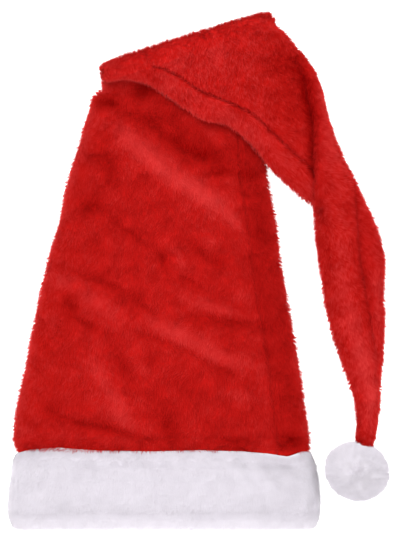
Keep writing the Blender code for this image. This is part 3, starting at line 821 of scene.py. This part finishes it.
def spikes(name, roots, ways, normals, lengths, widths, shade, material, seed, bend):
    """One mesh of closed spikes: three points round each root, and one at root + way * length. Its
    normals are a mix of the spike's own and the cloth's. bend is the cloth's share of it."""
    draw = np.random.default_rng(seed)
    count = len(roots)
    first, second = sideways(ways)
    start = draw.uniform(0, 2 * np.pi, count)
    angles = start[:, None] + np.arange(3) * 2 * np.pi / 3
    rays = first[:, None] * np.cos(angles)[..., None] + second[:, None] * np.sin(angles)[..., None]
    base = roots[:, None] + rays * (widths / 2)[:, None, None]
    tip = (roots + ways * lengths[:, None])[:, None]
    points = np.concatenate([base, tip], axis=1).reshape(-1, 3)
    points[:, 2] = np.maximum(points[:, 2], ABOVE_TABLE)
    faces = (np.arange(count)[:, None, None] * 4 + SPIKE_FACES).reshape(-1, 3)
    mesh = mesh_of(name, points, faces)
    outward = np.concatenate([rays, ways[:, None]], axis=1)
    shown = unit(outward * (1 - bend) + normals[:, None] * bend).reshape(-1, 3)
    mesh.normals_split_custom_set_from_vertices(shown.tolist())
    tint = draw.uniform(0, 1, count)
    give(mesh, shade=np.repeat(shade, 4), tuft=np.repeat(tint, 4), reach=np.tile([0, 0, 0, 1.0], count))
    side = int(np.ceil(np.sqrt(count)))
    cell = np.stack([np.arange(count) % side, np.arange(count) // side], axis=1)
    layer = mesh.uv_layers.new(name=BAKE_MAP)
    spots = (cell[:, None] + MAP_MARGIN + (1 - 2 * MAP_MARGIN) * SPIKE_MAP) / side
    layer.uv.foreach_set("vector", spots.astype(np.float32).ravel())
    mesh.materials.append(material)
    print(name, "tufts:", count, "triangles:", len(faces))
    return linked(bpy.data.objects.new(name, mesh))


# %% [markdown]
# ## Where the tufts stand
#
# The tufts stand in rows across the sleeve. Each row has as many as its width has room for, so they
# are as dense on the narrow tail as on the wide body, and each is moved a little at random, or the eye
# would find the rows. A repeat count for each row does this for the whole panel at once.

# %% Rows of tufts
EDGE_LIFT = 0.7
ROOT_DEPTH = 0.5
GIRTH_STEP = 0.01
WIDTH_RANGE = (0.75, 1.25)

Pile = namedtuple("Pile", "spacing length width lean")
Noise = namedtuple("Noise", "amount size seed")


def lifted(normals, share):
    """The same normals, but those that point sideways are turned up a little: fibres at an outline
    are lit from all round, so the pile stays bright there."""
    sideways_part = np.clip(1 - normals[:, 2], 0, 1) * np.clip((normals[:, 2] + 0.5) * 2, 0, 1)
    return unit(normals + share * sideways_part[:, None] * [0, 0, 1.0])


def in_rows(length_of_row, width_of_row, spacing, seed):
    """Rows at even steps along, and in each row a place at even steps across, both moved by up to half
    a step at random. Returns the row (with a fraction) and the share of the row's width."""
    draw = np.random.default_rng(seed)
    along = np.concatenate([[0], np.cumsum(length_of_row)])
    rows = int(along[-1] / spacing)
    middles = (np.arange(rows) + 0.5) * spacing
    width = np.interp(middles, (along[:-1] + along[1:]) / 2, width_of_row)
    counts = np.maximum(1, np.round(width / spacing).astype(int))
    row = np.repeat(np.arange(rows), counts)
    place = np.arange(len(row)) - np.repeat(np.cumsum(counts) - counts, counts)
    row_shift = draw.uniform(0, 1, rows)[row] * 0.5
    tuft_shift = draw.uniform(0, 0.5, len(row))
    share = (place + row_shift + tuft_shift + 0.25) / counts[row]
    way = middles[row] + draw.uniform(-0.5, 0.5, len(row)) * spacing
    return np.interp(way, along, np.arange(len(along))), np.clip(share, 0, 1)


def on_grid(grid, spacing, seed):
    """in_rows on a surface, whose rows' lengths and widths are measured on a grid of its points."""
    width_of_row = np.linalg.norm(np.diff(grid, axis=1), axis=2).sum(1)
    length_of_row = np.linalg.norm(np.diff(grid, axis=0), axis=2).mean(1)
    return in_rows(length_of_row, (width_of_row[1:] + width_of_row[:-1]) / 2, spacing, seed)


def soft(points, noises):
    """The noises' waves at these points, each times its amount, added up."""
    return sum(noise.amount * waves(points, noise.size, noise.seed) for noise in noises)


def leaned(normals, nap, sway, tilt):
    """The tufts' ways: the nap, turned by sway on the cloth, and the normal tilted towards it."""
    combed = unit(nap) * np.cos(sway)[:, None] + np.cross(normals, unit(nap)) * np.sin(sway)[:, None]
    return unit(normals * np.cos(tilt)[:, None] + combed * np.sin(tilt)[:, None])


def nap_at(s, stations):
    """The way that the pile is combed: towards the brim on the body, and towards the tip on the tail.
    It is the cross product of the way that the front faces and the way across. Over the fold it goes
    from one to the other, through no lean at all."""
    across = unit(s["right"] - s["left"])
    along = np.cross(s["facing"], across)
    turned = np.clip((stations - FIRST_TURN) / (0.5 * TURN_STATIONS), 0, 1) * 2 - 1
    return along * turned[:, None]


# %% [markdown]
# ## How the red pile lies
#
# All angles are in degrees. The pile leans along its nap, more so over the fold. Where the cloth's side
# lies on the table, and on the fold, some tufts stand up and are longer, so the outline is a little
# ragged. At the brim the tufts hang over the white lip.

# %% Red pile
ROW_SAMPLES = 41
STATION_STEP = 0.6
SWAY_NOISES = [Noise(16, 30, 5), Noise(9, 8, 6)]
SWAY_SPREAD = 9
TILT_NOISES = [Noise(6, 20, 7), Noise(4, 6, 8)]
TILT_SPREAD = 6
STEEPEST = 86
TURN_LEAN = 72
TURN_SPREAD = 8
TABLE_LEVEL = 16
TABLE_SOFTNESS = 4
EDGE_POWER = 12
RAGGED_NOISE = Noise(1, 3.2, 12)
RAGGED_MOST = 1.5
RAGGED_TURN = 0.8
RAGGED_TILT = 34
RAGGED_LENGTH = 0.15
LIP_START = 1.5
LIP_SOFTNESS = 4
LIP_TILT = 16
LIP_LENGTH = 0.6
LIP_NOISE = Noise(0.4, 3.5, 13)
LIP_NOISE_MOST = 1.3
LEFT_OF_TAIL = 120
LENGTH_NOISE = Noise(0.08, 12, 9)
LENGTH_SPREAD = 0.10
LENGTH_RANGE = (0.6, 1.8)
SHADE_NOISES = [Noise(0.05, 16, 10), Noise(0.05, 5, 11)]
TAIL_GRIT = 0.12
PAINTED_SIDE_LIGHT = 0.2
PAINTED_TABLE_SIDE_LIGHT = 0.4


def sleeve_pile(name, girths, stations, pile, seed):
    """Tufts between two girths and two stations, with the lean, the raggedness and the shades above."""
    low, high = girths
    used = np.arange(stations[0], stations[1] + 1)
    row_girths = wrapped(low + (high - low) * np.linspace(0, 1, ROW_SAMPLES))
    grid = sleeve_points(at_stations(sleeve, used.astype(float)), np.tile(row_girths, (len(used), 1)), 0)
    row, share = on_grid(grid, pile.spacing, seed)
    station = stations[0] + row
    girth = low * (1 - share) + high * share

    def surface(u, v):
        return sleeve_points(at_stations(sleeve, u), wrapped(v)[:, None], PILE_ROOM)[:, 0]

    points = surface(station, girth)
    normals = grid_normals(surface, station, girth, STATION_STEP, GIRTH_STEP)
    s = at_stations(sleeve, station)
    count = len(points)
    draw = np.random.default_rng(seed + 1)
    turning = np.exp(-(((station - FIRST_TURN - TURN_STATIONS / 2) / TURN_SPREAD) ** 2))
    past_turn = np.clip((station - FIRST_TURN) / TURN_STATIONS, 0, 1)
    on_table = np.clip((TABLE_LEVEL - points[:, 2]) / TABLE_SOFTNESS, 0, 1)
    at_edge = np.abs(on_section(s, wrapped(girth)[:, None])[1][:, 0]) ** EDGE_POWER
    ragged = np.clip(soft(points, [RAGGED_NOISE]), 0, RAGGED_MOST)
    ragged *= np.maximum(at_edge * (1 - turning) * on_table, RAGGED_TURN * turning)
    lip_y = BRIM_TOP + line_at(points[:, 0], EDGE_WAVES)
    by_brim = np.clip(LIP_START - (points[:, 1] - lip_y) / LIP_SOFTNESS, 0, 1)
    by_brim *= (normals[:, 2] > 0) & (points[:, 0] < LEFT_OF_TAIL)

    nap = nap_at(s, station)
    nap = nap - (nap * normals).sum(1, keepdims=True) * normals
    strength = np.clip(np.linalg.norm(nap, axis=1), 0, 1)
    sway = soft(points, SWAY_NOISES) + draw.normal(0, SWAY_SPREAD, count)
    tilt = pile.lean + (TURN_LEAN - pile.lean) * turning
    tilt += soft(points, TILT_NOISES) + draw.normal(0, TILT_SPREAD, count)
    tilt = np.clip(tilt - RAGGED_TILT * ragged - LIP_TILT * by_brim, 0, STEEPEST) * strength
    ways = leaned(normals, nap, np.radians(sway), np.radians(tilt))

    over_lip = LIP_LENGTH * by_brim * np.clip(1 + soft(points, [LIP_NOISE]), 0, LIP_NOISE_MOST)
    lengths = 1 + over_lip + RAGGED_LENGTH * ragged + soft(points, [LENGTH_NOISE])
    lengths += draw.normal(0, LENGTH_SPREAD, count)
    lengths = pile.length * np.clip(lengths, *LENGTH_RANGE)
    widths = pile.width * draw.uniform(*WIDTH_RANGE, count)
    coarse, fine = (soft(points, [noise]) for noise in SHADE_NOISES)
    shade = sleeve_shade(s, wrapped(girth)[:, None])[:, 0] + coarse + fine * (1 + past_turn)
    # Painted light at the sleeve's edges, more where they lie on the table.
    shade += (PAINTED_SIDE_LIGHT + PAINTED_TABLE_SIDE_LIGHT * on_table) * at_edge
    shade += TAIL_GRIT * past_turn * draw.normal(0, 1, count)
    roots = points - normals * ROOT_DEPTH
    return spikes(name, roots, ways, lifted(normals, EDGE_LIFT), lengths, widths, shade, red, seed, RED_BEND)


# %% [markdown]
# The pile that shows is dense. The pile below the hat is coarser, with wider tufts that lie flatter.
# The dense pile goes a little round each side, so the sides have no parting.

# %% All of the red pile
DENSE_RED = Pile(1.12, 5.0, 1.15, 50)
COARSE_BODY = Pile(2.6, 5.0, 2.2, 74)
COARSE_TAIL = Pile(2.4, 5.0, 2.0, 74)
ROUND_SIDE = 0.12
MIDDLE_STATION = FIRST_BODY + int(0.42 * BODY_STATIONS)
TURN_START = FIRST_TURN - 3
TURN_END = FIRST_TURN + 2
over_front = (-ROUND_SIDE, 2 + ROUND_SIDE)
over_back = (2 - ROUND_SIDE, 4 + ROUND_SIDE)
below_body = (2 + ROUND_SIDE, 4 - ROUND_SIDE)
below_tail = (ROUND_SIDE, 2 - ROUND_SIDE)
front_pile = [
    sleeve_pile("crown_front_pile_lower", over_front, (1, MIDDLE_STATION), DENSE_RED, 21),
    sleeve_pile("crown_front_pile_upper", over_front, (MIDDLE_STATION, TURN_END), DENSE_RED, 22),
]
back_pile = [
    sleeve_pile("crown_back_pile_tail", over_back, (TURN_START, LAST_STATION - 1), DENSE_RED, 23),
]
under_pile = [
    sleeve_pile("crown_back_pile_under", below_body, (1, TURN_START), COARSE_BODY, 24),
    sleeve_pile("crown_front_pile_under", below_tail, (TURN_END, LAST_STATION - 1), COARSE_TAIL, 25),
]

# %% [markdown]
# ## The brim
#
# The brim is one strip of white plush, folded double round its lower edge, so that its two long edges
# hold the crown's hem between them. Its outline in section is a hairpin. That profile is carried round
# the same flat sections as the sleeve's, with the height along Y as the second number.

# %% Brim band
BRIM_CELLS = 150
PLY_GAP = 1.0
BAND_REACH = 0.4
BRIM_SHADE = 0.07
PAINTED_CREASE_SHADE = 0.16
PAINTED_LIP_SHADE = 0.45
PAINTED_ROLL_LIGHT = 0.08
CREASE_LINE = [(-180, -230.5), (-132, -230.5), (-99, -227.5), (-60, -229.0), (120, -229.5)]
CREASE_DENT = 0.7
CREASE_WIDTH = 5
LIP_WIDTH = 4
WAVES_FADE = 14
PUFF_NOISES = [Noise(0.5, 60, 31), Noise(0.3, 22, 32)]
PUFF_DEPTH = 4
STRAIGHT_STEPS = 22
ROLL_STEPS = 13


def brim_sections(y):
    """The brim's sections at these heights along Y: its table's columns, in proportion."""
    table = np.array(BRIM, float)[::-1]
    level = np.clip(y, table[0, 0], table[-1, 0])
    left_x, right_x, top = (np.interp(level, table[:, 0], column) for column in table[:, 1:].T)
    edge = np.full(len(y), BRIM_EDGE_HEIGHT)
    seam = np.full(len(y), BODY[0].seam)
    columns = {"left_x": left_x, "left_y": y, "right_x": right_x, "right_y": y, "seam": seam}
    return stretch(columns, edge, edge, top, edge, 1)


def brim_profile(depth_outside):
    """The hairpin as (height along Y, depth): down the outside, half round the roll, up the inside. The
    outer ply gets thinner towards its sewn lip, as e to minus the square of the way from it."""
    radius = BRIM_WALL / 2
    turn_at = BRIM_BOTTOM + radius
    down = np.linspace(BRIM_TOP, turn_at, STRAIGHT_STEPS)
    angles = np.linspace(0, np.pi, ROLL_STEPS + 2)[1:-1]
    small = radius - depth_outside
    heights = np.concatenate([down, turn_at - small * np.sin(angles), down[::-1]])
    thinning = LIP_THINNING * np.exp(-(((BRIM_TOP - down) / LIP_WIDTH) ** 2))
    outside = depth_outside + thinning * (depth_outside < BRIM_PLY)
    inside = np.full(len(down), BRIM_WALL - depth_outside)
    depths = np.concatenate([outside, radius - small * np.cos(angles), inside])
    return heights, depths


def brim_points(heights, depths, girth):
    """Points of the brim, with its waved top edge and the soft crease above its roll."""
    s = brim_sections(heights)
    points = sleeve_points(s, girth, depths[:, None])
    x, y = points[..., 0], points[..., 1]
    by_top = np.exp(-(((y - BRIM_TOP) / WAVES_FADE) ** 2))
    front_up = on_section(s, girth)[2]
    in_outer_ply = depths[:, None] < BRIM_WALL / 2
    crease_y = line_at(x, CREASE_LINE)
    dent = CREASE_DENT * np.exp(-(((y - crease_y) / CREASE_WIDTH) ** 2)) * front_up * in_outer_ply
    outer = np.exp(-((depths[:, None] / PUFF_DEPTH) ** 2)) * front_up
    points[..., 2] += (soft(points, PUFF_NOISES) * outer - dent) * s["facing"][:, None, 2]
    points[..., 1] += line_at(x, EDGE_WAVES) * by_top
    return points


def tube_faces(rows, columns):
    """Quads of a grid that is closed both ways, as a ring's is."""
    index = np.arange(rows * columns).reshape(rows, columns)
    after, beside = np.roll(index, -1, axis=0), np.roll(index, -1, axis=1)
    both = np.roll(after, -1, axis=1)
    return np.stack([index, beside, both, after], axis=-1).reshape(-1, 4)


def brim_shade(points, y):
    """Painted shade along the crease and at the lip by the red, and painted light on the lower roll. The
    numbers in it are millimetres from the crease and from the brim's top."""
    from_crease = y - line_at(points[..., 0], CREASE_LINE)
    crease = np.exp(-((from_crease / 3) ** 2)) + 0.6 * np.exp(-(((from_crease - 7) / 9) ** 2))
    lip = np.clip((y - BRIM_TOP + 9) / 5, 0, 1)
    roll = 1 / (1 + np.exp((from_crease + 6) / 2.5))
    return BRIM_SHADE - PAINTED_CREASE_SHADE * crease - PAINTED_LIP_SHADE * lip + PAINTED_ROLL_LIGHT * roll


girth_cells = np.linspace(0, 4, BRIM_CELLS + 1)[:-1]
outer_y, outer_depth = brim_profile(PILE_ROOM)
inner_y, inner_depth = brim_profile(BRIM_WALL / 2 - PLY_GAP / 2)
profile_y = np.concatenate([outer_y, inner_y[::-1]])
profile_depth = np.concatenate([outer_depth, inner_depth[::-1]])
pocket = (profile_y > BRIM_TOP - POCKET_DEPTH) & (np.arange(len(profile_y)) >= len(outer_y))
lips = np.where(profile_depth < BRIM_WALL / 2, BRIM_PLY, BRIM_WALL - BRIM_PLY)
profile_depth = np.where(pocket, lips, profile_depth)
band_points = brim_points(profile_y, profile_depth, np.tile(girth_cells, (len(profile_y), 1)))
band_faces = tube_faces(len(profile_y), BRIM_CELLS)
band_mesh = mesh_of("brim_band", band_points.reshape(-1, 3), band_faces)
band_shade = brim_shade(band_points, profile_y[:, None]).ravel()
give(band_mesh, shade=band_shade, reach=BAND_REACH, tuft=MIDDLE_TINT)
band_mesh.materials.append(white)
brim_band = linked(bpy.data.objects.new("brim_band", band_mesh))
print("brim_band triangles:", 2 * len(band_faces))

# %% [markdown]
# The white pile is combed along the hairpin: down the outside, round the roll and up the inside. It is
# short at the lip, where it was sewn, and lies flatter round the roll.

# %% White pile of the brim
GRID_ROWS = 60
GRID_COLUMNS = 61
HAIRPIN_STEP = 0.3
BRIM_SWAY = [Noise(4, 40, 41)]
BRIM_SWAY_SPREAD = 7
BRIM_TILT = [Noise(2, 30, 43)]
BRIM_TILT_SPREAD = 4
ROLL_LEAN = 76
ROLL_HEIGHT = 8
LIP_STEPS = 1.6
SHORT_AT_LIP = 0.4
BRIM_LENGTH_SPREAD = 0.08
BRIM_LENGTH_RANGE = (0.6, 1.5)
BRIM_TINTS = [Noise(0.03, 18, 44)]
PAINTED_END_LIGHT = 0.6
BRIM_BEND = 0.88


def brim_pile(name, girths, steps, pile, seed):
    """Tufts on the brim between two girths, and between two steps along the hairpin."""
    heights, depths = brim_profile(PILE_ROOM)
    index = np.arange(len(heights))

    def hairpin(u, girth):
        return brim_points(np.interp(u, index, heights), np.interp(u, index, depths), wrapped(girth))

    def surface(u, v):
        return hairpin(u, v[:, None])[:, 0]

    grid_steps = np.linspace(*steps, GRID_ROWS)
    grid = hairpin(grid_steps, np.tile(np.linspace(*girths, GRID_COLUMNS), (GRID_ROWS, 1)))
    row, share = on_grid(grid, pile.spacing, seed)
    step = np.interp(row, np.arange(GRID_ROWS), grid_steps)
    girth = girths[0] + (girths[1] - girths[0]) * share
    points = surface(step, girth)
    count = len(points)
    normals = -grid_normals(surface, step, girth, HAIRPIN_STEP, GIRTH_STEP)
    nap = surface(step + HAIRPIN_STEP, girth) - surface(step - HAIRPIN_STEP, girth)
    at_lip = np.clip(LIP_STEPS - step, 0, 1)
    at_roll = np.clip((BRIM_BOTTOM + BRIM_WALL - points[:, 1]) / ROLL_HEIGHT, 0, 1)
    draw = np.random.default_rng(seed + 1)
    sway = soft(points, BRIM_SWAY) + draw.normal(0, BRIM_SWAY_SPREAD, count)
    tilt = pile.lean + soft(points, BRIM_TILT) + draw.normal(0, BRIM_TILT_SPREAD, count)
    tilt += (ROLL_LEAN - pile.lean) * at_roll
    ways = leaned(normals, nap, np.radians(sway), np.radians(tilt))
    lengths = np.clip(1 + draw.normal(0, BRIM_LENGTH_SPREAD, count), *BRIM_LENGTH_RANGE)
    lengths *= pile.length * (1 - SHORT_AT_LIP * at_lip)
    widths = pile.width * draw.uniform(*WIDTH_RANGE, count)
    # The brim's painted shade and light on the tufts that face up, and painted light on the sideways-facing
    # tufts at the brim's ends.
    shade = brim_shade(points, np.interp(step, index, heights)) * (normals[:, 2] > 0)
    shade += soft(points, BRIM_TINTS)
    shade += PAINTED_END_LIGHT * np.clip(1 - normals[:, 2], 0, 1) * np.abs(normals[:, 0])
    roots = points - normals * ROOT_DEPTH
    return spikes(name, roots, ways, normals, lengths, widths, shade, white, seed, BRIM_BEND)


# The front's pile ends under the roll, the under side's a little before that, and the inside's before
# the pocket that the crown is sewn into.
ROUND_END = 0.15
front_end = STRAIGHT_STEPS + ROLL_STEPS - 2
under_end = front_end - 4
inside_end = len(outer_y) - 5
front, below = (-ROUND_END, 2 + ROUND_END), (2 + ROUND_END, 4 - ROUND_END)
brim_piles = [
    brim_pile("fur_brim_pile_front", front, (0, front_end), Pile(1.15, 5.5, 1.2, 48), 51),
    brim_pile("fur_brim_pile_under", below, (0, under_end), Pile(2.2, 5.5, 2.0, 74), 52),
    brim_pile("fur_brim_pile_inside", (0, 4), (front_end, inside_end), Pile(2.6, 3.5, 2.0, 60), 53),
]

# %% [markdown]
# ## The pompom
#
# The pompom is a bundle of white yarn tied at its middle and trimmed to a ball. Its tufts point straight
# out, so they are spread evenly over a sphere along a golden spiral, each with a small sway. They cling
# in clumps of uneven length, and are short where the red tip goes in.

# %% Pompom
POMPOM_CENTRE = np.array([152.2, -192.0, 26.5])
POMPOM_RADII = np.array([25.8, 25.0, 25.2])
TIP_RADII = np.array([31.3, 28.8, 28.8])
CORE_ROWS, CORE_COLUMNS = 40, 80
CORE_WAVES = 0.012
CORE_LOWEST = 0.8
CORE_SHADE = 0.1
CORE_REACH = 0.5
POMPOM_TUFTS = 18000
TUFT_WIDTH = 1.25
POMPOM_ROOT_DEPTH = 1.0
WAVES_BALL = 25
CLUMP_SIZE = 9
CLUMP_LEAN = 0.06
TUFT_SWAY = 0.10
UNEVEN = 0.18
UNEVEN_SIZE = 4.5
LENGTH_SWAY = 0.12
EGG_SHAPE = 0.34
TO_RED_TIP = np.array([0.24, 0.96, 0.12])
RED_TIP_SPREAD = 0.05
SHORT_BY_TIP = 0.7
POMPOM_SHADE = -0.08
PAINTED_POMPOM_TOP_LIGHT = 0.85
CLUMP_SHADE = 0.03
POMPOM_LIFT = 1.6
POMPOM_BEND = 0.86


def even_directions(count):
    """Directions along a golden spiral: even steps of height, and a golden angle round at each."""
    turn = np.pi * (3 - np.sqrt(5)) * np.arange(count)
    z = 1 - (2 * np.arange(count) + 1) / count
    ring = np.sqrt(1 - z**2)
    return np.stack([ring * np.cos(turn), ring * np.sin(turn), z], axis=1)


def ball(rows, columns):
    """A ball of unit size on a grid of latitude and longitude, with a point at each pole."""
    tilt = np.linspace(0, np.pi, rows + 2)[1:-1][:, None]
    turn = np.linspace(0, 2 * np.pi, columns + 1)[:-1][None]
    height = np.cos(tilt) + 0 * turn
    ring = np.stack([np.sin(tilt) * np.cos(turn), np.sin(tilt) * np.sin(turn), height], axis=-1)
    index = np.arange(rows * columns).reshape(rows, columns)
    beside = np.roll(index, -1, axis=1)
    sides = np.stack([index[:-1], index[1:], beside[1:], beside[:-1]], axis=-1).reshape(-1, 4)
    top, bottom = rows * columns, rows * columns + 1
    caps = [(top, a, b) for a, b in zip(index[0], beside[0])]
    caps += [(bottom, b, a) for a, b in zip(index[-1], beside[-1])]
    points = np.concatenate([ring.reshape(-1, 3), [[0, 0, 1], [0, 0, -1]]])
    return points, [tuple(map(int, face)) for face in [*sides.tolist(), *caps]]


def ball_waves(ways, size, seed):
    """Soft noise on the pompom's ball, of the size in millimetres."""
    return waves(ways * WAVES_BALL, size, seed)


core_ways, core_faces = ball(CORE_ROWS, CORE_COLUMNS)
core_swell = 1 + CORE_WAVES * ball_waves(core_ways, CLUMP_SIZE, 61)
core_points = core_ways * POMPOM_RADII * core_swell[:, None] + POMPOM_CENTRE
core_points[:, 2] = np.maximum(core_points[:, 2], CORE_LOWEST)
core_mesh = bpy.data.meshes.new("pompom_core")
core_mesh.from_pydata((core_points * MILLIMETRE).tolist(), [], core_faces)
core_mesh.shade_smooth()
give(core_mesh, shade=CORE_SHADE, reach=CORE_REACH, tuft=MIDDLE_TINT)
core_mesh.materials.append(white)
pompom_core = linked(bpy.data.objects.new("pompom_core", core_mesh))

# %% Pompom pile
draw = np.random.default_rng(62)
ways = even_directions(POMPOM_TUFTS)
roots = ways * (POMPOM_RADII - POMPOM_ROOT_DEPTH) + POMPOM_CENTRE
roots[:, 2] = np.maximum(roots[:, 2], POMPOM_ROOT_DEPTH)
clumps = np.stack([ball_waves(ways, CLUMP_SIZE, seed) for seed in (63, 64, 65)], axis=1)
leaning = unit(ways + CLUMP_LEAN * clumps + draw.normal(0, TUFT_SWAY, (POMPOM_TUFTS, 3)))
lengths = np.linalg.norm(ways * (TIP_RADII - POMPOM_RADII + POMPOM_ROOT_DEPTH), axis=1)
lengths *= 1 + UNEVEN * ball_waves(ways, UNEVEN_SIZE, 66) + draw.normal(0, LENGTH_SWAY, POMPOM_TUFTS)
lengths *= 1 - EGG_SHAPE * ways[:, 0] * ways[:, 1]
lengths *= 1 - SHORT_BY_TIP * np.exp(-(1 - ways @ unit(TO_RED_TIP)) / RED_TIP_SPREAD)
widths = TUFT_WIDTH * draw.uniform(*WIDTH_RANGE, POMPOM_TUFTS)
# Painted light on the pompom's top, and a painted darker tone on its sides.
shade = POMPOM_SHADE + PAINTED_POMPOM_TOP_LIGHT * np.maximum(ways[:, 2], 0) ** 3 + CLUMP_SHADE * clumps[:, 0]
shown = lifted(ways, POMPOM_LIFT)
pompom_pile = spikes("pompom_pile", roots, leaning, shown, lengths, widths, shade, white, 67, POMPOM_BEND)

# %% [markdown]
# ## Joining the pieces to the frame
#
# Nothing on this hat moves on a joint, so all pieces ride on the one body. Each backing stands for one
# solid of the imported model, and the pile goes with it.

# %% Riding and replacing
red_pieces = [crown_front, crown_back, *front_pile, *back_pile, *under_pile]
white_pieces = [brim_band, *brim_piles, pompom_core, pompom_pile]
for piece in red_pieces:
    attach(piece, "root")
for piece in white_pieces:
    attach(piece, "root")
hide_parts("crown_front")
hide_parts("crown_back")
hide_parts("fur_brim")
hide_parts("pompom")
